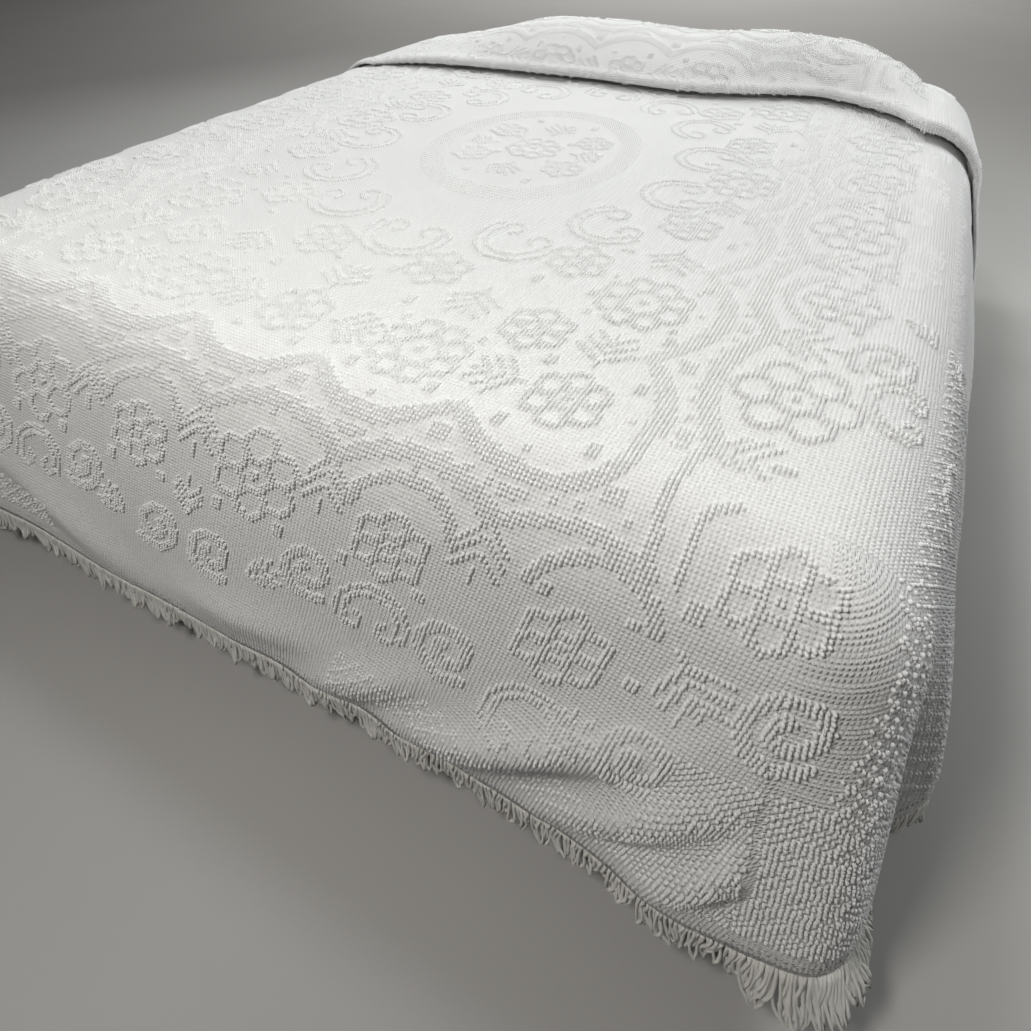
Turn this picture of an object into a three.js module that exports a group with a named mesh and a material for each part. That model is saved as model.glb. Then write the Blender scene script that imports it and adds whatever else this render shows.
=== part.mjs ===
// A tufted candlewick bedspread with a fringed hem, draped over a made-up king-size bed.
// Millimetres, +Z up. The origin is on the floor under the middle of the bed, +Y runs to the head
// and +X to the right as seen from the foot.
import * as THREE from 'three';

// Bed under the cloth
const GAP = 0.3; // between pieces that rest on each other
const BASE = { width: 1840, length: 1970, height: 380, corner: 100 };
const MATTRESS = { width: 1900, length: 2030, height: 276, edge: 134, corner: 150 };
const PILLOWS = [
  { name: 'pillow_left', x: -165, y: 826, width: 570, depth: 294, height: 118 },
  { name: 'pillow_right', x: 445, y: 884, width: 540, depth: 186, height: 122 },
];

// Cloth of the bedspread
const CLOTH = { thickness: 3, rest: 0.4, clearance: 4, edge: 130, drop: 595, fullness: 1.7 };
const TOP = BASE.height + GAP + MATTRESS.height + CLOTH.rest + CLOTH.thickness;
const SIDE = 842; // from the middle of the bed to its sides in the tables below
const FOOT = -(MATTRESS.length / 2 + CLOTH.clearance + CLOTH.thickness - CLOTH.edge);
const HEAD = 1008; // head hem, behind the pillows
const QUARTER = (CLOTH.edge * Math.PI) / 2;

// Line where the cloth bends down at each side, bowed out a little in the middle of the bed
const BEND_LINE = [
  { y: -892, left: 846, right: 828 }, { y: -560, left: 868, right: 848 }, { y: -300, left: 872, right: 854 },
  { y: -25, left: 872, right: 856 }, { y: 420, left: 872, right: 856 }, { y: 880, left: 858, right: 842 },
  { y: 1008, left: 828, right: 812 },
];

// Tuck in front of the pillows: the cloth goes in under the lip, comes forward and turns back over it.
// The roll thins to sideRoll down the sides, takes up some of the drop, and sinks towards the head.
const TUCK = {
  depth: 70, innerRadius: 9, lipRadius: 14, sideFade: 260, sideRoll: 0.34, takeUp: 0.4, sink: 0.8,
};
const TUCK_LIFT = 2 * (TUCK.innerRadius + TUCK.lipRadius);

// Front line of the lip across the bed, and how thick the tuck's roll is there
const LIP_LINE = [
  { x: -842, y: 470, roll: 0.4 }, { x: -740, y: 516, roll: 0.7 }, { x: -600, y: 544, roll: 0.95 },
  { x: -328, y: 574, roll: 1 }, { x: -75, y: 590, roll: 1 }, { x: 130, y: 582, roll: 1 },
  { x: 250, y: 598, roll: 1 }, { x: 355, y: 630, roll: 1 }, { x: 465, y: 676, roll: 1 },
  { x: 560, y: 696, roll: 1 }, { x: 677, y: 662, roll: 1 }, { x: 775, y: 598, roll: 1 },
  { x: 842, y: 490, roll: 1.15 },
];

// Height of the pillow hump across the bed
const HUMP_HEIGHT = [
  { x: -842, height: 16 }, { x: -720, height: 46 }, { x: -560, height: 84 }, { x: -320, height: 142 },
  { x: -80, height: 148 }, { x: 150, height: 139 }, { x: 400, height: 156 }, { x: 600, height: 144 },
  { x: 700, height: 118 }, { x: 785, height: 78 }, { x: 842, height: 30 },
];

// Shape of the hump from the lip (along 0) to the head hem (along 1), as a share of its height
const HUMP_SHAPE = [
  { along: 0.08, rise: 0.46 }, { along: 0.18, rise: 0.66 }, { along: 0.3, rise: 0.85 },
  { along: 0.42, rise: 0.96 }, { along: 0.54, rise: 1 }, { along: 0.68, rise: 0.97 },
  { along: 0.8, rise: 0.84 }, { along: 0.9, rise: 0.56 }, { along: 0.96, rise: 0.24 },
  { along: 1, rise: 0.05 },
];

// How far the hem stands out from the upright side. Place is millimetres along the foot up to the
// corner, then degrees round the corner, then millimetres along the side beyond those 90 degrees.
const CORNER = 90;
const HEM_RIGHT = [
  { place: -842, flare: 45 }, { place: -655, flare: 33 }, { place: -505, flare: 30 },
  { place: -365, flare: 41 }, { place: -275, flare: 41 }, { place: -185, flare: 51 },
  { place: -75, flare: 70 }, { place: 0, flare: 62 }, { place: 10, flare: 62 }, { place: 32, flare: 73 },
  { place: 42, flare: 66 }, { place: 50, flare: 53 }, { place: 61, flare: 33 }, { place: 78, flare: 12 },
  { place: 100, flare: 12 }, { place: 120, flare: 19 }, { place: 150, flare: 52 }, { place: 185, flare: 80 },
  { place: 365, flare: 62 }, { place: 555, flare: 68 }, { place: 795, flare: 70 },
  { place: 1035, flare: 90 }, { place: 1315, flare: 80 }, { place: 1575, flare: 72 },
  { place: 1995, flare: 60 },
];
const HEM_LEFT = [
  { place: -842, flare: 45 }, { place: -675, flare: 44 }, { place: -495, flare: 53 },
  { place: -315, flare: 50 }, { place: -95, flare: 62 }, { place: 0, flare: 60 }, { place: 30, flare: 72 },
  { place: 42, flare: 63 }, { place: 52, flare: 48 }, { place: 64, flare: 28 }, { place: 80, flare: 13 },
  { place: 105, flare: 14 }, { place: 150, flare: 50 },
  { place: 225, flare: 92 }, { place: 455, flare: 86 }, { place: 695, flare: 104 },
  { place: 955, flare: 88 }, { place: 1235, flare: 98 }, { place: 1575, flare: 74 },
  { place: 1995, flare: 64 },
];

// Soft ridges that cross the hanging cloth: middle, slope and size on the sheet, and their height
const FOOT_RIDGES = [
  { x: 515, down: 462, slope: -0.66, length: 200, width: 44, height: 32 },
  { x: 700, down: 442, slope: -0.94, length: 105, width: 38, height: 24 },
  { x: 800, down: 467, slope: -1.25, length: 70, width: 38, height: 18 },
  { x: 256, down: 527, slope: -0.62, length: 120, width: 42, height: 20 },
  { x: 30, down: 517, slope: -0.12, length: 170, width: 44, height: 13 },
  { x: -420, down: 487, slope: 0.35, length: 200, width: 50, height: 14 },
];

// Fringe along the foot and both sides; round the corners it stands out by some degrees
const FRINGE = {
  pitch: 27, gap: 0.5, band: 6, length: 63, uneven: 9, tip: 0.55, lean: 5, end: 1.5, cornerStand: 40,
};

// Steps of the sheet
const STEPS = { across: 32, along: 11, turn: 5, lip: 6, fan: 9 };
// Steps down a hanging column: 0 to 1 goes round the bend, 1 to 2 from there to the hem
const DOWN = [0.2, 0.4, 0.6, 0.8, 1, 1.2, 1.38, 1.52, 1.64, 1.76, 1.88, 2];

const clamp = (t) => Math.min(1, Math.max(0, t));
const ease = (t) => clamp(t) * clamp(t) * (3 - 2 * clamp(t));
const mix = (a, b, t) => a + (b - a) * t;
const fraction = (n) => n - Math.floor(n);
const SCATTER = { step: 12.9898, spread: 43758.5453 };
const uneven = (n) => 2 * fraction(Math.sin(n * SCATTER.step) * SCATTER.spread) - 1; // from -1 to 1

// Slope of a table's curve at row n: level at each high and low
function slopeAt(table, key, column, n) {
  const rise = (i) => (table[i + 1][column] - table[i][column]) / (table[i + 1][key] - table[i][key]);
  if (n === 0) return rise(0);
  if (n === table.length - 1) return rise(n - 1);
  const [before, after] = [rise(n - 1), rise(n)];
  return before * after > 0 ? (2 * before * after) / (before + after) : 0;
}

// Value of a column in a table at a place, on a smooth curve through the rows
function lookup(table, key, column, place) {
  const last = table.length - 1;
  if (place <= table[0][key]) return table[0][column];
  if (place >= table[last][key]) return table[last][column];
  const n = table.findIndex((row) => row[key] >= place) - 1;
  const [from, to] = [table[n], table[n + 1]];
  const span = to[key] - from[key];
  const t = (place - from[key]) / span;
  const leave = t * (1 - t) ** 2 * span * slopeAt(table, key, column, n);
  const arrive = t ** 2 * (t - 1) * span * slopeAt(table, key, column, n + 1);
  return mix(from[column], to[column], ease(t)) + leave + arrive;
}

// Rows of the sheet from the foot bend to the head hem: how far along, and how high, a row runs at x
function makeRows() {
  const rows = [];
  const lip = (x) => lookup(LIP_LINE, 'x', 'y', x);
  const roll = (x) => lookup(LIP_LINE, 'x', 'roll', x);
  for (let i = 0; i <= STEPS.along; i += 1) {
    const share = i / STEPS.along;
    rows.push({ zone: 'top', y: (x) => mix(FOOT, lip(x) + TUCK.depth, share), lift: () => 0 });
  }
  const { innerRadius, lipRadius } = TUCK;
  for (let i = 1; i <= STEPS.turn; i += 1) {
    const angle = Math.PI * (i / STEPS.turn - 0.5);
    rows.push({
      zone: 'turn',
      y: (x) => lip(x) + TUCK.depth + innerRadius * Math.cos(angle),
      lift: (x) => roll(x) * innerRadius * (1 + Math.sin(angle)),
    });
  }
  for (let i = 0; i <= STEPS.lip; i += 1) {
    const angle = Math.PI * (i / STEPS.lip - 0.5);
    rows.push({
      zone: 'lip',
      y: (x) => lip(x) - lipRadius * Math.cos(angle),
      lift: (x) => roll(x) * (2 * innerRadius + lipRadius * (1 + Math.sin(angle))),
    });
  }
  for (const { along, rise } of HUMP_SHAPE) {
    const nearLip = (x) => roll(x) * TUCK_LIFT * (1 - TUCK.sink * along);
    const height = (x) => rise * lookup(HUMP_HEIGHT, 'x', 'height', x);
    rows.push({
      zone: 'hump',
      y: (x) => mix(lip(x), HEAD, along),
      lift: (x) => Math.max(height(x), nearLip(x)),
    });
  }
  return rows;
}

// Hanging cloth: outward reach, fall and outward direction at a distance along the cloth. It turns over
// the edge, leaves it still sloping outward, and hangs plumb at the hem.
function hang(along, drop, flare) {
  const turn = Math.PI / 2 - Math.atan((CLOTH.fullness * flare) / (drop - QUARTER));
  const angle = Math.min(along / CLOTH.edge, turn);
  const hanging = drop - CLOTH.edge * turn;
  const below = clamp((along - CLOTH.edge * turn) / hanging);
  return {
    reach: CLOTH.edge * Math.sin(angle) + flare * (1 - (1 - below) ** CLOTH.fullness),
    fall: CLOTH.edge * (1 - Math.cos(angle)) + below * Math.sqrt(hanging ** 2 - flare ** 2),
    out: Math.sin(angle),
    up: Math.cos(angle),
  };
}

// Outward swell of the ridges that cross the foot of the sheet
function ridgeAt(x, down) {
  let swell = 0;
  for (const ridge of FOOT_RIDGES) {
    const off = down - ridge.down - ridge.slope * (x - ridge.x);
    swell += ridge.height * Math.exp(-((off / ridge.width) ** 2) - ((x - ridge.x) / ridge.length) ** 2);
  }
  return swell;
}

// One column of points down the hanging cloth from a point of the top's edge
function hangColumn({ base, direction, flare, drop, lift, roll = 1, ridges }) {
  return DOWN.map((step) => {
    const along = step < 1 ? step * QUARTER : mix(QUARTER, drop, step - 1);
    const at = hang(along, drop, flare);
    const raised = lift * mix(1, TUCK.sideRoll / roll, ease(along / TUCK.sideFade));
    const reach = at.reach + raised * at.out + (ridges ? ridgeAt(base.x, along) * at.out : 0);
    return new THREE.Vector3(
      base.x + direction.x * reach,
      base.y + direction.y * reach,
      TOP - at.fall + raised * at.up,
    );
  });
}

// The sheet's outer face: a grid over the bed, and columns hanging round three sides of it
function layOutSheet() {
  const points = [];
  const triangles = [];
  const add = (point) => points.push(point) - 1;
  const addQuad = (a, b, c, d) => {
    if (a !== b && b !== c && c !== a) triangles.push([a, b, c]);
    if (a !== c && c !== d && d !== a) triangles.push([a, c, d]);
  };
  const rows = makeRows();
  const lastRow = rows.length - 1;
  const grid = [];
  for (let i = 0; i <= STEPS.across; i += 1) {
    const x = mix(-SIDE, SIDE, i / STEPS.across);
    grid.push(rows.map((row) => {
      const y = row.y(x);
      const bend = lookup(BEND_LINE, 'y', x < 0 ? 'left' : 'right', y);
      return add(new THREE.Vector3((x * bend) / SIDE, y, TOP + row.lift(x)));
    }));
  }
  for (let i = 0; i < STEPS.across; i += 1) {
    for (let j = 0; j < lastRow; j += 1) {
      addQuad(grid[i][j], grid[i + 1][j], grid[i + 1][j + 1], grid[i][j + 1]);
    }
  }

  const columns = [];
  const addColumn = (zone, baseIndex, setting) => {
    const base = points[baseIndex];
    columns.push({ zone, indices: [baseIndex, ...hangColumn({ base, ...setting }).map(add)] });
  };
  const addSideColumn = (sign, table, j) => {
    const row = rows[j];
    const lift = row.lift(sign * SIDE);
    const roll = lookup(LIP_LINE, 'x', 'roll', sign * SIDE);
    const place = CORNER + row.y(sign * SIDE) - FOOT;
    addColumn(`${sign < 0 ? 'left' : 'right'}_${row.zone}`, grid[sign < 0 ? 0 : STEPS.across][j], {
      direction: new THREE.Vector2(sign, 0),
      flare: lookup(table, 'place', 'flare', place),
      drop: CLOTH.drop - TUCK.takeUp * (row.zone === 'hump' ? roll * TUCK_LIFT : lift),
      lift,
      roll,
    });
  };
  const addFanColumn = (sign, table, degrees) => {
    const angle = THREE.MathUtils.degToRad(degrees);
    addColumn(sign < 0 ? 'left_corner' : 'right_corner', grid[sign < 0 ? 0 : STEPS.across][0], {
      direction: new THREE.Vector2(sign * Math.sin(angle), -Math.cos(angle)),
      flare: lookup(table, 'place', 'flare', degrees),
      drop: CLOTH.drop,
      lift: 0,
    });
  };
  for (let j = lastRow; j >= 0; j -= 1) addSideColumn(-1, HEM_LEFT, j);
  for (let i = STEPS.fan; i >= 1; i -= 1) addFanColumn(-1, HEM_LEFT, (CORNER * i) / (STEPS.fan + 1));
  for (let i = 0; i <= STEPS.across; i += 1) {
    const x = points[grid[i][0]].x;
    addColumn('foot', grid[i][0], {
      direction: new THREE.Vector2(0, -1),
      flare: lookup(x < 0 ? HEM_LEFT : HEM_RIGHT, 'place', 'flare', Math.abs(x) - SIDE),
      drop: CLOTH.drop,
      lift: 0,
      ridges: true,
    });
  }
  for (let i = 1; i <= STEPS.fan; i += 1) addFanColumn(1, HEM_RIGHT, (CORNER * i) / (STEPS.fan + 1));
  for (let j = 0; j <= lastRow; j += 1) addSideColumn(1, HEM_RIGHT, j);

  for (let c = 0; c + 1 < columns.length; c += 1) {
    const [here, next] = [columns[c].indices, columns[c + 1].indices];
    for (let k = 0; k + 1 < here.length; k += 1) addQuad(here[k], here[k + 1], next[k + 1], next[k]);
  }
  return { points, triangles, columns };
}

// Outward direction at each point of the sheet
function pointNormals(points, triangles) {
  const normals = points.map(() => new THREE.Vector3());
  for (const [a, b, c] of triangles) {
    const first = points[b].clone().sub(points[a]);
    const second = points[c].clone().sub(points[a]);
    const normal = first.cross(second);
    for (const index of [a, b, c]) normals[index].add(normal);
  }
  return normals.map((normal) => normal.normalize());
}

function toGeometry(points, triangles) {
  const geometry = new THREE.BufferGeometry();
  const coordinates = points.flatMap((point) => point.toArray());
  geometry.setAttribute('position', new THREE.Float32BufferAttribute(coordinates, 3));
  geometry.setIndex(triangles.flat());
  return geometry;
}

// Gives the outer face its thickness and closes its border
function thicken({ points, triangles }, inner) {
  const count = points.length;
  const faces = [...triangles, ...triangles.map(([a, b, c]) => [a + count, c + count, b + count])];
  const edges = new Set(triangles.flatMap(([a, b, c]) => [`${a} ${b}`, `${b} ${c}`, `${c} ${a}`]));
  for (const edge of edges) {
    const [from, to] = edge.split(' ').map(Number);
    if (edges.has(`${to} ${from}`)) continue;
    faces.push([to, from, from + count], [to, from + count, to + count]);
  }
  return toGeometry([...points, ...inner], faces);
}

// Points at even steps along a hem, on its outer and inner edge
function stepAlong(outer, inner, steps) {
  const reach = [0];
  for (let i = 1; i < outer.length; i += 1) reach.push(reach[i - 1] + outer[i].distanceTo(outer[i - 1]));
  const [start, end] = [FRINGE.end, reach.at(-1) - FRINGE.end];
  return Array.from({ length: steps + 1 }, (_, n) => {
    const at = mix(start, end, n / steps);
    let i = 0;
    while (i + 2 < reach.length && reach[i + 1] < at) i += 1;
    const share = (at - reach[i]) / (reach[i + 1] - reach[i]);
    return {
      outer: outer[i].clone().lerp(outer[i + 1], share),
      inner: inner[i].clone().lerp(inner[i + 1], share),
    };
  });
}

// A narrow band under the hem with locks of yarn hanging from every second step
function makeFringe(outer, inner, seed, stand) {
  const length = outer.slice(1).reduce((sum, point, i) => sum + point.distanceTo(outer[i]), 0);
  const locks = Math.max(2, Math.round(length / FRINGE.pitch));
  const stations = stepAlong(outer, inner, 2 * locks - 1);
  const points = [];
  const faces = [];
  const add = (x, y, z) => points.push(new THREE.Vector3(x, y, z)) - 1;
  const addQuad = (a, b, c, d) => faces.push([a, b, c], [a, c, d]);
  const rings = stations.map((station) => {
    const top = Math.min(station.outer.z, station.inner.z) - FRINGE.gap;
    return [
      add(station.outer.x, station.outer.y, top),
      add(station.outer.x, station.outer.y, top - FRINGE.band),
      add(station.inner.x, station.inner.y, top - FRINGE.band),
      add(station.inner.x, station.inner.y, top),
    ];
  });
  addQuad(...rings[0].toReversed());
  addQuad(...rings.at(-1));
  for (let n = 0; n + 1 < rings.length; n += 1) {
    const [here, next] = [rings[n], rings[n + 1]];
    for (const side of [0, 2, 3]) {
      const other = (side + 1) % here.length;
      addQuad(here[side], here[other], next[other], next[side]);
    }
    const root = [here[2], next[2], next[1], here[1]];
    if (n % 2 === 1) {
      addQuad(...root);
      continue;
    }
    const middle = root.reduce((sum, index) => sum.add(points[index]), new THREE.Vector3()).divideScalar(4);
    const hanging = FRINGE.length - FRINGE.band + FRINGE.uneven * uneven(seed + n);
    const standing = stand * Math.sin((Math.PI * n) / (rings.length - 1));
    const sideways = points[next[1]].clone().sub(points[here[1]]).setZ(0).normalize();
    const outward = points[here[1]].clone().sub(points[here[2]]).setZ(0).normalize();
    const tip = root.map((index) => {
      const spot = points[index].clone().sub(middle).multiplyScalar(FRINGE.tip).add(middle);
      spot.addScaledVector(sideways, FRINGE.lean * uneven(2.7 * seed + n));
      spot.addScaledVector(outward, hanging * Math.sin(standing));
      return add(spot.x, spot.y, middle.z - hanging * Math.cos(standing));
    });
    for (let k = 0; k < root.length; k += 1) {
      const other = (k + 1) % root.length;
      addQuad(root[k], root[other], tip[other], tip[k]);
    }
    addQuad(...tip);
  }
  return toGeometry(points, faces);
}

// A block with upright round corners and, where asked, a rounded top and bottom edge
function roundedBlock({ width, length, height, corner, edge = 0 }) {
  const [halfWidth, halfLength, radius] = [width / 2 - edge, length / 2 - edge, corner - edge];
  const outline = new THREE.Shape();
  outline.absarc(halfWidth - radius, halfLength - radius, radius, 0, Math.PI / 2);
  outline.absarc(radius - halfWidth, halfLength - radius, radius, Math.PI / 2, Math.PI);
  outline.absarc(radius - halfWidth, radius - halfLength, radius, Math.PI, 1.5 * Math.PI);
  outline.absarc(halfWidth - radius, radius - halfLength, radius, 1.5 * Math.PI, 2 * Math.PI);
  const geometry = new THREE.ExtrudeGeometry(outline, {
    depth: height - 2 * edge,
    curveSegments: 5,
    bevelEnabled: edge > 0,
    bevelSize: edge,
    bevelThickness: edge,
    bevelSegments: 4,
  });
  return geometry.translate(0, 0, edge);
}

// A pillow: a crowned cushion, square in plan with soft corners, flat where it lies
function pillowGeometry({ width, depth, height }) {
  const geometry = new THREE.SphereGeometry(1, 20, 12);
  const position = geometry.attributes.position;
  const softness = 0.7; // 1 is oval in plan, less is squarer
  const square = (value) => Math.sign(value) * Math.abs(value) ** softness;
  const flatShare = 0.42; // how far down the lower half is pressed flat
  for (let i = 0; i < position.count; i += 1) {
    // the sphere's poles lie along X
    const [x, y, z] = [position.getY(i), position.getX(i), -position.getZ(i)];
    const high = Math.max(z, -flatShare) + flatShare;
    position.setXYZ(i, (square(x) * width) / 2, (square(y) * depth) / 2, (high * height) / (1 + flatShare));
  }
  return geometry;
}

const material = (color, roughness) => new THREE.MeshStandardMaterial({ color, roughness, metalness: 0 });
const COTTON = 0xe6e6e1;
const YARN = 0xe0dfd8;
const TICKING = 0xd8d5cc;
const BASE_CLOTH = 0xa9a59c;

const bed = new THREE.Group();
function addPiece(name, geometry, color, roughness, z = 0) {
  const mesh = new THREE.Mesh(geometry, material(color, roughness));
  mesh.name = name;
  mesh.position.z = z;
  bed.add(mesh);
}

const sheet = layOutSheet();
const normals = pointNormals(sheet.points, sheet.triangles);
const innerPoints = sheet.points.map((p, i) => p.clone().addScaledVector(normals[i], -CLOTH.thickness));
addPiece('bedspread', thicken(sheet, innerPoints), COTTON, 0.9);

// Each stretch of fringe follows the hem of one stretch of columns
const FRINGES = [
  { name: 'fringe_left_head', zones: ['left_hump'] },
  { name: 'fringe_left', zones: ['left_top'] },
  { name: 'fringe_left_corner', zones: ['left_corner'] },
  { name: 'fringe_foot', zones: ['foot'] },
  { name: 'fringe_right_corner', zones: ['right_corner'] },
  { name: 'fringe_right', zones: ['right_top'] },
  { name: 'fringe_right_head', zones: ['right_hump'] },
];
FRINGES.forEach(({ name, zones }, n) => {
  const inZone = sheet.columns.map((column) => zones.includes(column.zone));
  const first = inZone.indexOf(true);
  const last = inZone.lastIndexOf(true);
  // a corner's fringe starts and ends at its neighbours' last columns
  const round = name.endsWith('corner');
  const [from, to] = round ? [first - 1, last + 1] : [first, last];
  const hem = sheet.columns.slice(from, to + 1).map((column) => column.indices.at(-1));
  const outer = hem.map((index) => sheet.points[index]);
  const inner = hem.map((index) => innerPoints[index]);
  const stand = THREE.MathUtils.degToRad(round ? FRINGE.cornerStand : 0);
  addPiece(name, makeFringe(outer, inner, 100 * n + 1, stand), YARN, 0.95);
});

addPiece('mattress', roundedBlock(MATTRESS), TICKING, 0.9, BASE.height + GAP);

addPiece('bed_base', roundedBlock(BASE), BASE_CLOTH, 0.9);

for (const pillow of PILLOWS) {
  const geometry = pillowGeometry(pillow).translate(pillow.x, pillow.y, 0);
  addPiece(pillow.name, geometry, TICKING, 0.9, BASE.height + GAP + MATTRESS.height + GAP);
}

export default bed;
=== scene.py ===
from functools import partial

import bpy
import numpy as np
from mathutils import Matrix, Vector


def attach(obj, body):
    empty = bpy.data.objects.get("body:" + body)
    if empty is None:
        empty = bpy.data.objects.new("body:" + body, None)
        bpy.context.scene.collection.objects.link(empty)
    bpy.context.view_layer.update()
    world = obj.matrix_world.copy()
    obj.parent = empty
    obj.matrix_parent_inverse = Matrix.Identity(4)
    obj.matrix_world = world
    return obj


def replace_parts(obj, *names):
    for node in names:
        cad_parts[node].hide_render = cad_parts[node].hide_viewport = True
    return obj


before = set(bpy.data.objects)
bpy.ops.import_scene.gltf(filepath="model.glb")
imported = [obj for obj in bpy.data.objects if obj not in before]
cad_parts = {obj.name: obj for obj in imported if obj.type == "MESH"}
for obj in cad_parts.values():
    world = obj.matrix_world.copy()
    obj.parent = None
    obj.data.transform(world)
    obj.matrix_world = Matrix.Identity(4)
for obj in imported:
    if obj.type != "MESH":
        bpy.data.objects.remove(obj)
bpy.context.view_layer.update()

# Sizes are in millimetres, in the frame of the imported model; meshes are scaled to metres
MM = 0.001
BODY = "root"
CLOTH = dict(thickness=3, edge=130, drop=595, fullness=1.7)
TOP = 659.7  # outer face of the flat top
SIDE = 842  # from the middle of the bed to its sides in the tables below
FOOT = -892  # where the cloth starts to bend down
HEAD = 1008  # head hem
CORNER = 90  # degrees
QUARTER = CLOTH["edge"] * np.pi / 2
TUCK = dict(depth=70, inner=9, lip=14, side_fade=260, side_roll=0.34, take_up=0.4, sink=0.8)
TUCK_LIFT = 2 * (TUCK["inner"] + TUCK["lip"])
SMOOTH_EDGE = 140  # the top has no creases this near its edges


def rows(columns, *values):
    """A short table: named columns, then its rows."""
    return [dict(zip(columns.split(), row)) for row in values]


# Line where the cloth bends down at each side
BEND_LINE = rows(
    "y left right",
    (-892, 846, 828), (-560, 868, 848), (-300, 872, 854), (-25, 872, 856),
    (420, 872, 856), (880, 858, 842), (1008, 828, 812),
)
# Front line of the tuck's lip across the bed, and how thick its roll is there
LIP_LINE = rows(
    "x y roll",
    (-842, 470, 0.4), (-740, 516, 0.7), (-600, 544, 0.95), (-328, 574, 1), (-75, 590, 1),
    (130, 582, 1), (250, 598, 1), (355, 630, 1), (465, 676, 1), (560, 696, 1), (677, 662, 1),
    (775, 598, 1), (842, 490, 1.15),
)
HUMP_HEIGHT = rows(
    "x height",
    (-842, 16), (-720, 46), (-560, 84), (-320, 142), (-80, 148), (150, 139),
    (400, 156), (600, 144), (700, 118), (785, 78), (842, 30),
)
# Shape of the hump from the lip (along 0) to the head hem (along 1)
HUMP_SHAPE = rows(
    "along rise",
    (0, 0.2), (0.08, 0.46), (0.18, 0.66), (0.3, 0.85), (0.42, 0.96), (0.54, 1),
    (0.68, 0.97), (0.8, 0.84), (0.9, 0.56), (0.96, 0.24), (1, 0.05),
)
# How far the hem stands out: millimetres along the foot, degrees round the corner, then along the side
HEM_RIGHT = rows(
    "place flare",
    (-842, 45), (-655, 33), (-505, 30), (-365, 41), (-275, 41), (-185, 51), (-75, 70), (0, 62),
    (10, 62), (32, 73), (42, 66), (50, 53), (61, 33), (78, 12), (100, 12), (120, 19), (150, 52),
    (185, 80), (365, 62), (555, 68), (795, 70), (1035, 90), (1315, 80), (1575, 72), (1995, 60),
)
HEM_LEFT = rows(
    "place flare",
    (-842, 45), (-675, 44), (-495, 53), (-315, 50), (-95, 62), (0, 60), (30, 72), (42, 63), (52, 48),
    (64, 28), (80, 13), (105, 14), (150, 50), (225, 92), (455, 86), (695, 104), (955, 88), (1235, 98),
    (1575, 74), (1995, 64),
)
# Soft ridges that cross the foot
FOOT_RIDGES = rows(
    "x down slope length width height",
    (515, 462, -0.66, 200, 44, 32), (700, 442, -0.94, 105, 38, 24),
    (800, 467, -1.25, 70, 38, 18), (256, 527, -0.62, 120, 42, 20),
    (30, 517, -0.12, 170, 44, 13), (-420, 487, 0.35, 200, 50, 14),
)
# Slight ridges of the flat top
TOP_CREASES = rows(
    "x y angle length width height",
    (-250, -520, 62, 420, 90, 3.2), (330, -250, 118, 360, 80, 2.6), (-560, 120, 80, 420, 110, 3.4),
    (120, 250, 20, 380, 70, 2.4), (560, 60, 95, 460, 80, 3.0), (-120, -760, 8, 420, 60, 2.2),
    (640, -640, 135, 260, 60, 2.6), (-640, -560, 45, 320, 80, 2.4),
)


def ease(t):
    t = np.clip(t, 0, 1)
    return t * t * (3 - 2 * t)


def mix(a, b, t):
    return a + (b - a) * t


def soft_max(a, b, blend):
    return (a + b + np.sqrt((a - b) ** 2 + blend**2)) / 2


def stack(*values):
    return np.stack(np.broadcast_arrays(*values), -1)


def unit(vectors):
    return vectors / np.maximum(np.linalg.norm(vectors, axis=-1, keepdims=True), 1e-9)


def curve(table, key, column):
    """A smooth curve through a table's rows, level at each high and low."""
    place = np.array([row[key] for row in table], float)
    value = np.array([row[column] for row in table], float)
    rise = np.diff(value) / np.diff(place)
    before, after = rise[:-1], rise[1:]
    steady = before * after > 0
    inner = np.where(steady, 2 * before * after / np.where(steady, before + after, 1), 0)
    slope = np.concatenate([rise[:1], inner, rise[-1:]])

    def at(x):
        x = np.clip(x, place[0], place[-1])
        n = np.clip(np.searchsorted(place, x) - 1, 0, len(rise) - 1)
        span = place[n + 1] - place[n]
        t = (x - place[n]) / span
        bend = t * (1 - t) ** 2 * slope[n] + t * t * (t - 1) * slope[n + 1]
        return mix(value[n], value[n + 1], ease(t)) + span * bend

    return at


lip_y = curve(LIP_LINE, "x", "y")
lip_roll = curve(LIP_LINE, "x", "roll")
hump_height = curve(HUMP_HEIGHT, "x", "height")
hump_rise = curve(HUMP_SHAPE, "along", "rise")
bend_left = curve(BEND_LINE, "y", "left")
bend_right = curve(BEND_LINE, "y", "right")
hem_flare = {-1: curve(HEM_LEFT, "place", "flare"), 1: curve(HEM_RIGHT, "place", "flare")}


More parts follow.
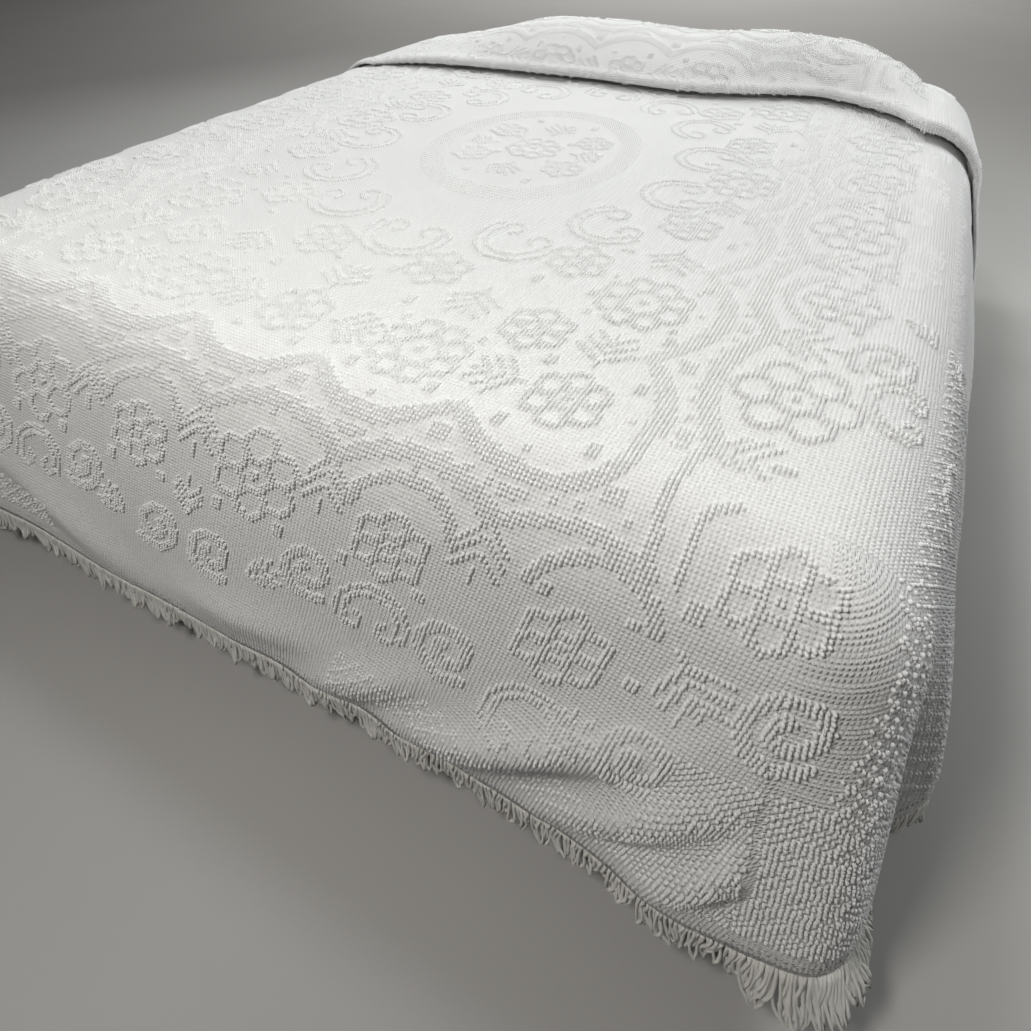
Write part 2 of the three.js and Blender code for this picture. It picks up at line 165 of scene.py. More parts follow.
# Shape of the draped cloth: its outer face, zone by zone
def profile(x, r):
    """Where row r runs at x, and its lift: 0 to 1 is the top, 1 to 2 the turn of the tuck, 2 to 3 its run
    back, 3 to 4 the lip and 4 to 5 the hump."""
    lip, roll = lip_y(x), lip_roll(x)
    inner, outer, depth = TUCK["inner"], TUCK["lip"], TUCK["depth"]
    turn = np.pi * (np.clip(r - 1, 0, 1) - 0.5)
    over = np.pi * (np.clip(r - 3, 0, 1) - 0.5)
    along = np.clip(r - 4, 0, 1)
    near_lip = roll * TUCK_LIFT * (1 - TUCK["sink"] * along)
    hump = soft_max(hump_rise(along) * hump_height(x), near_lip, blend=12)
    stretches = [r < 1, r < 2, r < 3, r < 4]
    y = np.select(
        stretches,
        [
            mix(FOOT, lip + depth, r),
            lip + depth + inner * np.cos(turn),
            mix(lip + depth, lip, r - 2),
            lip - outer * np.cos(over),
        ],
        mix(lip, HEAD, along),
    )
    lift = np.select(
        stretches,
        [
            0 * y,
            roll * inner * (1 + np.sin(turn)),
            roll * 2 * inner + 0 * y,
            roll * (2 * inner + outer * (1 + np.sin(over))),
        ],
        hump,
    )
    return y, lift


def bend_x(x, y):
    return x * np.where(x < 0, bend_left(y), bend_right(y)) / SIDE


def foot_relief(across, down):
    """Height of the ridges that cross the foot."""
    total = 0 * across
    for ridge in FOOT_RIDGES:
        off = down - ridge["down"] - ridge["slope"] * (across - ridge["x"])
        far = (across - ridge["x"]) / ridge["length"]
        total = total + ridge["height"] * np.exp(-((off / ridge["width"]) ** 2) - far**2)
    return total


def top_relief(x, y):
    """Slight unevenness of the top, gone at its edges."""
    total = 0 * (x + y)
    for crease in TOP_CREASES:
        angle = np.radians(crease["angle"])
        along = (x - crease["x"]) * np.cos(angle) + (y - crease["y"]) * np.sin(angle)
        off = (y - crease["y"]) * np.cos(angle) - (x - crease["x"]) * np.sin(angle)
        shape = -((off / crease["width"]) ** 2) - (along / crease["length"]) ** 2
        total = total + crease["height"] * np.exp(shape)
    for inside in (y - FOOT, SIDE - abs(x), lip_y(x) - y):
        total = total * ease(inside / SMOOTH_EDGE)
    return total


def hang(along, drop, flare):
    """Reach and fall of hanging cloth at a distance along it, and how far it faces out and up."""
    edge, full = CLOTH["edge"], CLOTH["fullness"]
    turn = np.pi / 2 - np.arctan(full * flare / (drop - QUARTER))
    angle = np.minimum(along / edge, turn)
    hanging = drop - edge * turn
    below = np.clip((along - edge * turn) / hanging, 0, 1)
    reach = edge * np.sin(angle) + flare * (1 - (1 - below) ** full)
    fall = edge * (1 - np.cos(angle)) + below * np.sqrt(hanging**2 - flare**2)
    return reach, fall, np.sin(angle), np.cos(angle)


def on_bed(x, r):
    y, lift = profile(x, r)
    return stack(bend_x(x, y), y, TOP + lift + np.where(r < 1, top_relief(x, y), 0))


def on_foot(x, along):
    across = bend_x(x, FOOT + 0 * x)
    place = np.abs(across) - SIDE
    flare = np.where(across < 0, hem_flare[-1](place), hem_flare[1](place))
    reach, fall, out, _ = hang(along, CLOTH["drop"], flare)
    return stack(across, FOOT - reach - foot_relief(across, along) * out, TOP - fall)


def on_side(sign, r, along):
    x = sign * SIDE + 0 * r
    y, lift = profile(x, r)
    roll = lip_roll(x)
    drop = CLOTH["drop"] - TUCK["take_up"] * np.where(r > 4, roll * TUCK_LIFT, lift)
    reach, fall, out, up = hang(along * drop / CLOTH["drop"], drop, hem_flare[sign](CORNER + y - FOOT))
    raised = lift * mix(1, TUCK["side_roll"] / roll, ease(along / TUCK["side_fade"]))
    return stack(bend_x(x, y) + sign * (reach + raised * out), y, TOP - fall + raised * up)


def on_corner(sign, degrees, along):
    angle = np.radians(degrees)
    start = bend_x(np.array(float(sign * SIDE)), np.array(float(FOOT)))
    reach, fall, _, _ = hang(along, CLOTH["drop"], hem_flare[sign](degrees))
    return stack(start + sign * np.sin(angle) * reach, FOOT - np.cos(angle) * reach, TOP - fall)


# Small steps to measure slopes with
ROW_STEP, DEGREE_STEP, MM_STEP = 0.0012, 0.5, 1.0


def facing(surface, a, b, steps, flip):
    """Points of a zone, the way they face and the way their second coordinate runs."""
    across = surface(a + steps[0], b) - surface(a - steps[0], b)
    down = surface(a, b + steps[1]) - surface(a, b - steps[1])
    return surface(a, b), unit(np.cross(across, down)) * flip, unit(down)


def row_values(*counts):
    """Row values from the foot bend to the head hem, with so many in each stretch of the profile."""
    stretches = [n + np.linspace(0, 1, count)[1:] for n, count in enumerate(counts)]
    return np.concatenate([[0.0], *stretches])


ROW_SAMPLES = row_values(140, 12, 2, 14, 80)


def reach_along(points):
    """Distance along lines of points, from their start."""
    steps = np.linalg.norm(np.diff(points, axis=-2), axis=-1)
    return np.concatenate([np.zeros((*steps.shape[:-1], 1)), np.cumsum(steps, axis=-1)], axis=-1)


def even_steps(reach, pitch):
    """Distances at even steps along a line."""
    count = max(2, int(reach[-1] / pitch))
    return (np.arange(count) + 0.5) * reach[-1] / count


def cloth_lengths(x):
    """Distance along the cloth from the foot bend, for each row sample at each x."""
    return FOOT + reach_along(on_bed(x[:, None], ROW_SAMPLES[None, :]))


LEAN = dict(slope=0.31, start=112, blend=60)


def lean(along):
    """How far the cloth's own columns have run aslant at a distance down the foot."""
    start, blend = LEAN["start"], LEAN["blend"]
    return LEAN["slope"] * (soft_max(along - start, 0, blend) - soft_max(-start, 0, blend))


# Mesh making
def make_mesh(name, points, faces, uv=None):
    """An object from points in millimetres and arrays of faces, one array for each number of sides."""
    mesh = bpy.data.meshes.new(name)
    mesh.vertices.add(len(points))
    mesh.vertices.foreach_set("co", (np.asarray(points) * MM).astype(np.float32).ravel())
    loops = np.concatenate([f.ravel() for f in faces]).astype(np.int32)
    sides = np.concatenate([np.full(len(f), f.shape[1]) for f in faces]).astype(np.int32)
    mesh.loops.add(len(loops))
    mesh.loops.foreach_set("vertex_index", loops)
    mesh.polygons.add(len(sides))
    mesh.polygons.foreach_set("loop_start", (np.cumsum(sides) - sides).astype(np.int32))
    mesh.polygons.foreach_set("use_smooth", np.full(len(sides), True))
    if uv is not None:
        places = np.concatenate([u.reshape(-1, 2) for u in uv]).astype(np.float32)
        mesh.uv_layers.new(name="flat").data.foreach_set("uv", places.ravel())
    mesh.update(calc_edges=True)
    mesh.validate()
    made = bpy.data.objects.new(name, mesh)
    bpy.context.scene.collection.objects.link(made)
    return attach(made, BODY)


def grid_quads(index):
    """Quads of a grid of point numbers."""
    a, b, c, d = index[:-1, :-1], index[:-1, 1:], index[1:, 1:], index[1:, :-1]
    return np.stack([a, b, c, d], -1).reshape(-1, 4)


def ring_quads(index):
    """Quads between rings of point numbers, each ring closed."""
    low, high = index[..., :-1, :], index[..., 1:, :]
    return np.stack([low, np.roll(low, -1, -1), np.roll(high, -1, -1), high], -1).reshape(-1, 4)


# The sheet
PITCH = dict(across=6.1, along=5.9)  # between tufts
# Steps of its mesh, the flare that lays its corner flat, and the depth of its inner face as a share
SHEET = dict(across=110, rows=(80, 8, 4, 9, 30), down=32, fan=16, fan_flare=40, inner=0.8)


def make_sheet():
    x = np.linspace(-SIDE, SIDE, SHEET["across"])
    r = row_values(*SHEET["rows"])
    hanging = np.linspace(0, CLOTH["drop"], SHEET["down"] + 1)
    down = hanging[None, 1:]
    points, quads, triangles, quad_uv, triangle_uv = [], [], [], [], []
    count = 0

    def add(new):
        nonlocal count
        points.append(new.reshape(-1, 3))
        index = count + np.arange(new[..., 0].size).reshape(new.shape[:-1])
        count += index.size
        return index

    def add_grid(index, flat, turn=False):
        order = [0, 3, 2, 1] if turn else [0, 1, 2, 3]
        lattice = flat / np.array([PITCH["across"], PITCH["along"]])
        corners = grid_quads(index)[:, order]
        at = grid_quads(np.arange(index.size).reshape(index.shape))[:, order]
        uv = lattice.reshape(-1, 2)[at]
        closed = corners[:, order.index(0)] == corners[:, order.index(3)]
        quads.append(corners[~closed])
        quad_uv.append(uv[~closed])
        keep = [n for n in range(4) if n != order.index(3)]
        triangles.append(corners[closed][:, keep])
        triangle_uv.append(uv[closed][:, keep])

    bed = add(on_bed(x[:, None], r[None, :]))
    along = np.stack([np.interp(r, ROW_SAMPLES, row) for row in cloth_lengths(x)])
    add_grid(bed, stack(x[:, None], along), turn=True)
    foot = np.column_stack([bed[:, 0], add(on_foot(x[:, None], down))])
    add_grid(foot, stack(x[:, None] + lean(hanging)[None, :], FOOT - hanging[None, :]))
    degrees = np.linspace(0, CORNER, SHEET["fan"] + 2)
    arc = np.radians(degrees[:, None]) * hang(hanging, CLOTH["drop"], SHEET["fan_flare"])[0]
    for sign, end in ((-1, 0), (1, -1)):
        side = np.column_stack([bed[end], add(on_side(sign, r[:, None], down))])
        add_grid(side, stack(sign * (SIDE + hanging[None, :]), along[end][:, None]), turn=sign < 0)
        fan = add(on_corner(sign, degrees[1:-1, None], down))
        fan = np.column_stack([np.full(SHEET["fan"], bed[end, 0]), fan])
        fan = np.concatenate([foot[end][None, :], fan, side[:1]])
        add_grid(fan, stack(sign * (SIDE + arc) + lean(hanging), FOOT - hanging[None, :]), turn=sign < 0)
    faces = [np.concatenate(quads), np.concatenate(triangles)]
    return close_sheet(np.concatenate(points), faces, [np.concatenate(quad_uv), np.concatenate(triangle_uv)])


def close_sheet(outer, faces, uv):
    """Gives the outer face its thickness and closes its border."""
    normals = np.zeros_like(outer)
    for f in faces:
        normal = np.cross(outer[f[:, 1]] - outer[f[:, 0]], outer[f[:, -1]] - outer[f[:, 0]])
        for side in f.T:
            np.add.at(normals, side, normal)
    inner = outer - unit(normals) * CLOTH["thickness"] * SHEET["inner"]
    size = len(outer)
    edges = np.concatenate([np.stack([f, np.roll(f, -1, axis=1)], -1).reshape(-1, 2) for f in faces])
    key = edges.min(1) * size + edges.max(1)
    _, first, times = np.unique(key, return_index=True, return_counts=True)
    rim = edges[first[times == 1]]
    rim_quads = np.column_stack([rim[:, 1], rim[:, 0], rim[:, 0] + size, rim[:, 1] + size])
    quads = np.concatenate([faces[0], faces[0][:, ::-1] + size, rim_quads])
    triangles = np.concatenate([faces[1], faces[1][:, ::-1] + size])
    quad_uv = np.concatenate([uv[0], uv[0][:, ::-1], np.zeros((len(rim), 4, 2))])
    triangle_uv = np.concatenate([uv[1], uv[1][:, ::-1]])
    points = np.concatenate([outer, inner])
    return make_mesh("candlewick_sheet", points, [quads, triangles], [quad_uv, triangle_uv])


sheet = make_sheet()
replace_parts(sheet, "bedspread")


# Places of the tufts: a lattice on the flat cloth, and where each of its sites lies on the drape
HEM_PLAIN = dict(stitches=7, tufts=42)  # how far above the hem they stop
POLE = 60  # round a corner of the top the lattice runs in rings from this far out
SPARE = 4  # sites beyond a zone that are tried too
# What shows of the cloth: rows, and under the lip millimetres
SHOWS = dict(top=0.9999, under_lip=4, lip=3.12, head=4.985)
SITE = ("point", "normal", "down", "u", "v", "i", "j", "zone")
ON_TOP, ON_FOOT = 0, 1  # zones, followed by each side with its two corner zones
SIDES, POLES, FANS = (2, 5), (3, 6), (4, 7)


def showing(x, r):
    """Rows that aren't hidden inside the tuck."""
    y, _ = profile(x, np.minimum(r, SHOWS["top"]))
    on_top = (r < 1) & (y < lip_y(x) + SHOWS["under_lip"])
    return on_top | (r > SHOWS["lip"]) & (r < SHOWS["head"])


def tuft_sites():
    """Every site of the lattice with its point, facing and flat place."""
    step_u, step_v = PITCH["across"], PITCH["along"]
    lowest = CLOTH["drop"] - HEM_PLAIN["stitches"]
    zones = []

    def add_zone(surface, a, b, steps, flip, u, v, i, j):
        found = facing(surface, a, b, steps, flip)
        zones.append((*found, u, v, i, j, np.full(len(u), len(zones))))

    columns = np.arange(-int(SIDE / step_u), int(SIDE / step_u) + 1)
    lengths = cloth_lengths(columns * step_u)
    first = int(np.ceil(FOOT / step_v))
    top_j = np.arange(first, int(np.floor(lengths.max() / step_v)))
    r = np.stack([np.interp(top_j * step_v, row, ROW_SAMPLES, right=np.nan) for row in lengths])
    i, j = np.broadcast_arrays(columns[:, None], top_j[None, :])
    keep = showing(i * step_u, r)
    i, j = i[keep], j[keep]
    add_zone(on_bed, i * step_u, r[keep], (MM_STEP, ROW_STEP), 1, i * step_u, j * step_v, i, j)

    foot_j = np.arange(int(np.ceil((FOOT - lowest) / step_v)), first)
    wide = np.arange(columns[0] - SPARE, columns[-1] + int(lean(CLOTH["drop"]) / step_u) + SPARE)
    i, j = np.broadcast_arrays(wide[:, None], foot_j[None, :])
    down = FOOT - j * step_v
    across = i * step_u - lean(down)
    keep = np.abs(across) < SIDE
    i, j, across, down = i[keep], j[keep], across[keep], down[keep]
    add_zone(on_foot, across, down, (MM_STEP, MM_STEP), -1, i * step_u, FOOT - down, i, j)

    side_i = np.arange(int(SIDE / step_u) + 1, int((SIDE + lowest) / step_u))
    for sign in (-1, 1):
        edge = np.array([float(sign * SIDE)])
        r = np.interp(top_j * step_v, cloth_lengths(edge)[0], ROW_SAMPLES, right=np.nan)
        keep = showing(edge, r)
        grids = np.broadcast_arrays(r[keep][:, None], top_j[keep][:, None], side_i[None, :])
        r, j, i = (grid.ravel() for grid in grids)
        down = i * step_u - SIDE
        surface = partial(on_side, sign)
        add_zone(surface, r, down, (ROW_STEP, MM_STEP), -sign, sign * (SIDE + down), j * step_v, sign * i, j)

        surface, steps = partial(on_corner, sign), (DEGREE_STEP, MM_STEP)
        span = int(POLE / step_v) + SPARE
        i, j = (grid.ravel() for grid in np.meshgrid(side_i[:span], foot_j[::-1][:span]))
        out, down = i * step_u - SIDE, FOOT - j * step_v
        keep = np.hypot(out, down) < POLE
        out, down, i, j = out[keep], down[keep], sign * i[keep], j[keep]
        degrees = np.degrees(np.arctan2(out, down))
        add_zone(surface, degrees, np.hypot(out, down), steps, -sign, i * step_u, j * step_v, i, j)

        rings = []
        turn = np.linspace(0, CORNER, 60)
        for row in foot_j:
            down = FOOT - row * step_v
            if down < POLE:
                continue
            reach = reach_along(surface(turn, down))
            spots = even_steps(reach, step_u)
            i, same = np.arange(len(spots)), np.ones(len(spots), int)
            u = sign * (SIDE + spots) + lean(down)
            rings.append((np.interp(spots, reach, turn), down * same, u, i, row * same))
        degrees, down, u, i, j = (np.concatenate(values) for values in zip(*rings))
        add_zone(surface, degrees, down, steps, -sign, u, FOOT - down, i, j)
    return {name: np.concatenate(values) for name, values in zip(SITE, zip(*zones))}


# The raised pattern, drawn as strokes on the flat cloth: lines of points, each with half a width
AXIS = 8  # middle of the pattern, across the bed
BEND_WIDER = 28  # how much longer the pattern is drawn round the bend
BORDER = dict(
    foot=dict(repeat=243, inner=893, end=486, flower=250, leaf=196, large=230, flower_first=False),
    side=dict(repeat=274, inner=550, end=822, flower=220, leaf=186, large=202, flower_first=True),
)
BORDER_ENDS = dict(foot=660, side=846)  # no border beyond these, from the middle of the cloth
BULGE = dict(inner=64, outer=46)
# Its two bands: how far apart their cusps are, and their half widths at the cusps and between them
RIBBON = dict(apart=140, inner=(11, 16), outer=(14, 15))
BORDER_SIZES = dict(flower=62, large=84, leaf=96, hook=84, hook_out=164)
STROKE_STEP, SCALLOP_STEP = 3.0, 4.0
# Small blocks of the border, at its cusps and in the middle of its bays
BLOCKS = rows(
    "place off out width height",
    ("cusp", 0, 54, 28, 24), ("cusp", 0, 116, 10, 8), ("cusp", 30, 78, 9, 8), ("cusp", 62, 88, 9, 8),
    ("cusp", 98, 92, 9, 8), ("bay", 0, 99, 26, 18), ("bay", 0, 30, 10, 8),
)


def polar(radius, angle):
    return np.stack([radius * np.cos(angle), radius * np.sin(angle)], -1)


def segment(start, end):
    start, end = np.array(start, float), np.array(end, float)
    count = max(2, int(np.linalg.norm(end - start) / STROKE_STEP) + 1)
    return start + (end - start) * np.linspace(0, 1, count)[:, None]


def rosette(radius, lobes=8):
    """A flower: a ring of petals, each a small loop, round a dot."""
    middle = 0.64 * radius
    petal = polar(middle * np.sin(np.pi / lobes), np.linspace(0, 2 * np.pi, 50))
    strokes = [(segment((0, 0), (1, 0)), 8.5)]
    for n in range(lobes):
        strokes.append((petal + polar(middle, 2 * np.pi * (n + 0.5) / lobes), 6.4))
    return strokes


def sprig(size):
    """A leaf sprig: a stem with three pairs of leaves like chevrons."""
    strokes = [(segment((0, -0.5 * size), (0, -0.32 * size)), 4.5)]
    for low, reach in ((-0.3, 0.5), (-0.06, 0.42), (0.18, 0.3)):
        for side in (-1, 1):
            strokes.append((segment((0, low * size), (side * reach * size, (low + 0.34) * size)), 5.0))
    strokes.append((segment((0, 0.42 * size), (0, 0.5 * size)), 5.0))
    return strokes


def volute(radius):
    """A spiral that winds in."""
    t = np.linspace(0, 1, 110)
    spiral = polar(radius * (1 - 0.78 * t), 3 * np.pi * t - 0.7 + np.pi / 2)
    return [(spiral * np.array([1, 1.06]), 9.0)]


def fir(size):
    """A leaf group: nested chevrons that open downwards, over a short stem."""
    strokes = []
    for top, reach in ((0.5, 0.34), (0.27, 0.4), (0.04, 0.34)):
        for side in (-1, 1):
            leaf = segment((side * 3, top * size), (side * reach * size, (top - 0.36) * size))
            strokes.append((leaf, 4.4))
    strokes.append((segment((0, -0.25 * size), (0, -0.5 * size)), 4.2))
    return strokes


def horn(radius):
    """A pair of curled arcs, one inside the other, open downwards."""
    sweep = np.radians(np.linspace(-20, 200, 70))
    strokes = [(polar(radius, sweep), 4.4), (polar(radius * 0.74, sweep), 4.4)]
    curl = polar(radius * 0.26, np.radians(np.linspace(0, 250, 40)))
    for side in (-1, 1):
        middle = np.array([side * radius * 0.5, -radius * 0.3])
        strokes.append((middle + curl * np.array([side, -1]), 4.6))
    return strokes


def hook(radius):
    """A flat arch with its ends turned down."""
    sweep = np.radians(np.linspace(28, 152, 40))
    arch = polar(radius, sweep) - np.array([0, radius * 0.62])
    strokes = [(arch, 10.0)]
    for side, end in ((-1, arch[-1]), (1, arch[0])):
        strokes.append((segment(end, end + np.array([side * 4, -16])), 10.0))
    return strokes


def block(width, height):
    """A filled square, as short lines side by side."""
    lines = np.arange(-width / 2, width / 2 + 0.1, PITCH["across"])
    return [(segment((x, -height / 2), (x, height / 2)), 3.2) for x in lines]


def placed(strokes, u, v, turn=0.0):
    c, s = np.cos(np.radians(turn)), np.sin(np.radians(turn))
    return [(points @ np.array([[c, s], [-s, c]]) + (u, v), half) for points, half in strokes]


def scallop(end, cusp, bulge, repeat, phase, widths):
    """A scalloped line: arcs between cusps, thicker in the middle of each arc. Gives short strokes."""
    strokes = []
    for at in np.arange(-end, end, SCALLOP_STEP):
        arc = 1 - (2 * (((at - phase) / repeat) % 1) - 1) ** 2
        strokes.append((np.array([[at, cusp + bulge * arc]]), mix(*widths, arc)))
    return strokes


def border(repeat, inner, end, flower, leaf, large, flower_first):
    """Strokes of the border along one edge: along it, and outward from the middle of the cloth. Gives its
    bands, and the flowers and leaves outside them."""

    def blocks(place, along):
        strokes = []
        for row in BLOCKS:
            if row["place"] == place:
                for off in {row["off"], -row["off"]}:
                    strokes += placed(block(row["width"], row["height"]), along + off, inner + row["out"])
        return strokes

    outer = inner + RIBBON["apart"]
    bands = scallop(end, inner, BULGE["inner"], repeat, repeat / 2, RIBBON["inner"])
    bands += scallop(end, outer, -BULGE["outer"], repeat, 0, RIBBON["outer"])
    motifs = []
    bays = int(end / repeat + 0.5)
    for n in range(-bays - 1, bays + 1):
        cusp = repeat * (n + 0.5)
        bands += blocks("cusp", cusp)
        if (n % 2 == 0) == flower_first:
            motifs += placed(rosette(BORDER_SIZES["flower"], 6), cusp, inner + flower)
            bands += placed(hook(BORDER_SIZES["hook"]), cusp, inner + BORDER_SIZES["hook_out"], 180)
        elif abs(cusp) < end:
            motifs += placed(rosette(BORDER_SIZES["large"], 6), cusp, inner + large)
    for n in range(-bays, bays + 1):
        bands += blocks("bay", repeat * n)
        motifs += placed(fir(BORDER_SIZES["leaf"]), repeat * n, inner + leaf, 180)
    return bands, motifs


# Motifs in one quarter of the cloth, each with its places: across, along and any turn in degrees
FIELD = rows(
    "motif size places",
    ("rosette", 84, ((242, 815), (486, 552), (504, 0))), ("rosette", 74, ((0, 0),)),
    ("flower", 60, ((0, 815), (484, 821))), ("flower", 56, ((367, 690),)),
    ("flower", 58, ((125, 602), (336, 470), (466, 250))), ("flower", 46, ((118, 92),)),
    ("sprig", 88, ((0, 706, 180), (242, 664), (486, 700, 180), (486, 392))),
    ("sprig", 84, ((378, 815, 90), (112, 815, -90), (500, 128))),
    ("sprig", 76, ((0, 140),)), ("sprig", 66, ((132, 0, -90),)),
    ("horn", 84, ((0, 520),)), ("horn", 80, ((196, 446, 24), (330, 312, 52), (404, 116, 78))),
    ("dot", 17, ((62, 884), (173, 884), (312, 884), (430, 894), (560, 894), (566, 758))),
    ("dot", 17, ((430, 752), (146, 712), (60, 640), (300, 560), (402, 560), (570, 470))),
    ("dot", 17, ((560, 640), (400, 400), (560, 300), (560, 180), (80, 190))),
)
FOOT_MOTIFS = rows(
    "motif size places",
    ("volute", 53, ((63, 1317), (878, 1136))), ("volute", 52, ((248, 1258),)),
    ("volute", 54, ((494, 1270),)), ("volute", 50, ((770, 1262),)), ("fir", 72, ((0, 1216),)),
    ("fir", 66, ((172, 1306, 60), (690, 1280, 30), (880, 1290, -40))), ("fir", 62, ((1045, 1300, 30),)),
    ("horn", 62, ((368, 1290, 180),)), ("horn", 60, ((630, 1320, 160),)),
    ("flower", 62, ((626, 1172),)), ("flower", 64, ((812, 994),)), ("flower", 70, ((965, 1352),)),
    ("hook", 84, ((632, 1060, 180),)), ("sprig", 84, ((772, 1136, -38),)),
    ("dot", 16, ((62, 1206), (182, 1206), (300, 1200), (430, 1200))),
    ("dot", 22, ((742, 1046),)), ("dot", 13, ((690, 1092),)), ("dot", 15, ((578, 1092), (720, 1172))),
)
SIDE_MOTIFS = rows(
    "motif size places",
    ("volute", 47, ((842, 0, 90), (842, 274, 90))), ("volute", 49, ((848, 548, 90),)),
    ("volute", 52, ((1130, 274), (1130, 548), (1130, 0))),
    ("fir", 70, ((892, 137, 40), (892, 411, -40))), ("horn", 58, ((884, 640, 90), (884, 196, 90))),
    ("dot", 16, ((800, 60), (800, 334), (800, 480), (800, 620))),
    ("flower", 62, ((1040, 137), (1040, 411), (1040, 685))),
)
CORNER_LINES = rows(
    "half points",
    (13, ((486, 957), (517, 957))), (12, ((604, 870), (604, 822))),
    (11, ((486, 1033), (520, 1016), (560, 1003), (600, 998), (640, 1005), (680, 1022))),
    (9, ((686, 822), (672, 850), (664, 890), (666, 960), (672, 1026))),
    (5, ((710, 1022), (710, 934))), (7, ((710, 934), (720, 914), (742, 902))),
)
CORNER_ARC = dict(radius=87, middle=(517, 870), half=13)
MOTIFS = dict(
    rosette=rosette, flower=lambda size: rosette(size, 6), sprig=sprig, horn=horn,
    dot=lambda size: block(size, size), volute=volute, fir=fir, hook=hook,
)
ROSETTE_DOTS = dict(size=11, u=70, v=60)  # four dots round each rosette
MEDALLION = dict(width=226, height=280, thick=56)
CORNER_FIELD = dict(u=800, v=1225)  # every second site is raised beyond these
# The diamond lattice: sites between its lines, and where it starts beyond the border and from the middle
LATTICE = dict(sites=5, foot=500, side=400, middle=330)
# Height as a share: bands over the edge and on top, motifs, dotted fields, stitches in rings and elsewhere
RISE = dict(band=0.88, top_band=0.68, motif=0.88, low=0.55, ring=0.5, stitch=1.0)
BOTH = (-1, 1)


def mirrored(strokes):
    quarters = [np.array([u, v]) for u in BOTH for v in BOTH]
    return [(points * quarter, half) for points, half in strokes for quarter in quarters]


def motif_strokes(table):
    """Strokes of a table of motifs, mirrored to all four quarters of the cloth."""
    strokes = []
    dot = block(ROSETTE_DOTS["size"], ROSETTE_DOTS["size"])
    for row in table:
        for u, v, *turn in row["places"]:
            strokes += placed(MOTIFS[row["motif"]](row["size"]), u, v, *turn)
            if row["motif"] == "rosette":
                for side, end in ((1, 1), (-1, 1), (1, -1), (-1, -1)):
                    strokes += placed(dot, u + side * ROSETTE_DOTS["u"], v + end * ROSETTE_DOTS["v"])
    return mirrored(strokes)


def corner_strokes():
    arc = polar(CORNER_ARC["radius"], np.radians(np.linspace(0, 90, 30))) + CORNER_ARC["middle"]
    strokes = [(arc, CORNER_ARC["half"])]
    for row in CORNER_LINES:
        for start, end in zip(row["points"], row["points"][1:]):
            strokes.append((segment(start, end), row["half"]))
    return mirrored(strokes)


def sites_on(u, v, strokes):
    """The sites that lie on a stroke."""
    hit = np.zeros(len(u), bool)
    order = np.argsort(v, kind="stable")
    sorted_v = v[order]
    for points, half in strokes:
        low = np.searchsorted(sorted_v, points[:, 1].min() - half)
        high = np.searchsorted(sorted_v, points[:, 1].max() + half)
        near = order[low:high]
        near = near[(u[near] > points[:, 0].min() - half) & (u[near] < points[:, 0].max() + half)]
        if len(near) > 0:
            off = np.stack([u[near], v[near]], -1)[:, None, :] - points[None, :, :]
            hit[near[(off**2).sum(-1).min(1) < half**2]] = True
    return hit


def pattern_place(sites):
    """Where the sites lie in the pattern, which is drawn a little wider where the cloth bends down."""
    zone, u, v = sites["zone"], sites["u"], sites["v"]
    past_side, past_foot = (np.abs(u) - SIDE) / QUARTER, (FOOT - v) / QUARTER
    widen_u = np.where(np.isin(zone, (*SIDES, *POLES)), BEND_WIDER * ease(past_side), 0)
    widen_v = np.where(np.isin(zone, (ON_FOOT, *POLES, *FANS)), BEND_WIDER * ease(past_foot), 0)
    return u + np.sign(u) * widen_u - AXIS, v - widen_v


def pattern(sites):
    """How far each site of the lattice is raised, and which lie flat between the tufts of a dotted field."""
    u, v = pattern_place(sites)
    i, j = sites["i"], sites["j"]
    far_u, far_v = np.abs(u), np.abs(v)
    foot, side = BORDER["foot"], BORDER["side"]
    borders = []
    for along_foot, along_side in zip(border(**foot), border(**side)):
        at_ends = [(points * (1, end), half) for points, half in along_foot for end in BOTH]
        at_sides = [(points[:, ::-1] * (end, 1), half) for points, half in along_side for end in BOTH]
        on_foot_border = sites_on(u, v, at_ends) & (far_u < BORDER_ENDS["foot"])
        borders.append(on_foot_border | sites_on(u, v, at_sides) & (far_v < BORDER_ENDS["side"]))
    bands = borders[0] | sites_on(u, v, corner_strokes())
    inside = (far_u < side["inner"] + BULGE["inner"]) & (far_v < foot["inner"] + BULGE["inner"])
    raised = borders[1] | sites_on(u, v, motif_strokes(FIELD)) & inside
    raised |= sites_on(u, v, motif_strokes(FOOT_MOTIFS) + motif_strokes(SIDE_MOTIFS))

    ring = np.hypot(u / MEDALLION["width"], v / MEDALLION["height"])
    thick = MEDALLION["thick"] / (MEDALLION["width"] + MEDALLION["height"])
    around = (np.abs(ring - 1) < thick) & (j % 2 == 0)
    diamond = ((i + j) % LATTICE["sites"] == 0) | ((i - j) % LATTICE["sites"] == 0)
    past_foot, past_side = far_v - foot["inner"], far_u - side["inner"]
    low_foot = (past_foot > past_side) & (past_foot > LATTICE["foot"]) & (far_u > LATTICE["middle"])
    low_side = (past_foot <= past_side) & (past_side > LATTICE["side"])
    corner = (far_u > CORNER_FIELD["u"]) & (far_v > CORNER_FIELD["v"])
    low = ((low_foot | low_side) & diamond) | corner & ((i + j) % 2 == 0) | around
    rise = np.select(
        [corner & (low | raised), bands & (sites["zone"] == ON_TOP), bands, raised, low],
        [RISE["low"], RISE["top_band"], RISE["band"], RISE["motif"], RISE["low"]],
    )
    hanging = np.maximum(np.abs(sites["u"]) - SIDE, FOOT - sites["v"])
    above_hem = hanging < CLOTH["drop"] - HEM_PLAIN["tufts"]
    return rise * above_hem, corner & above_hem


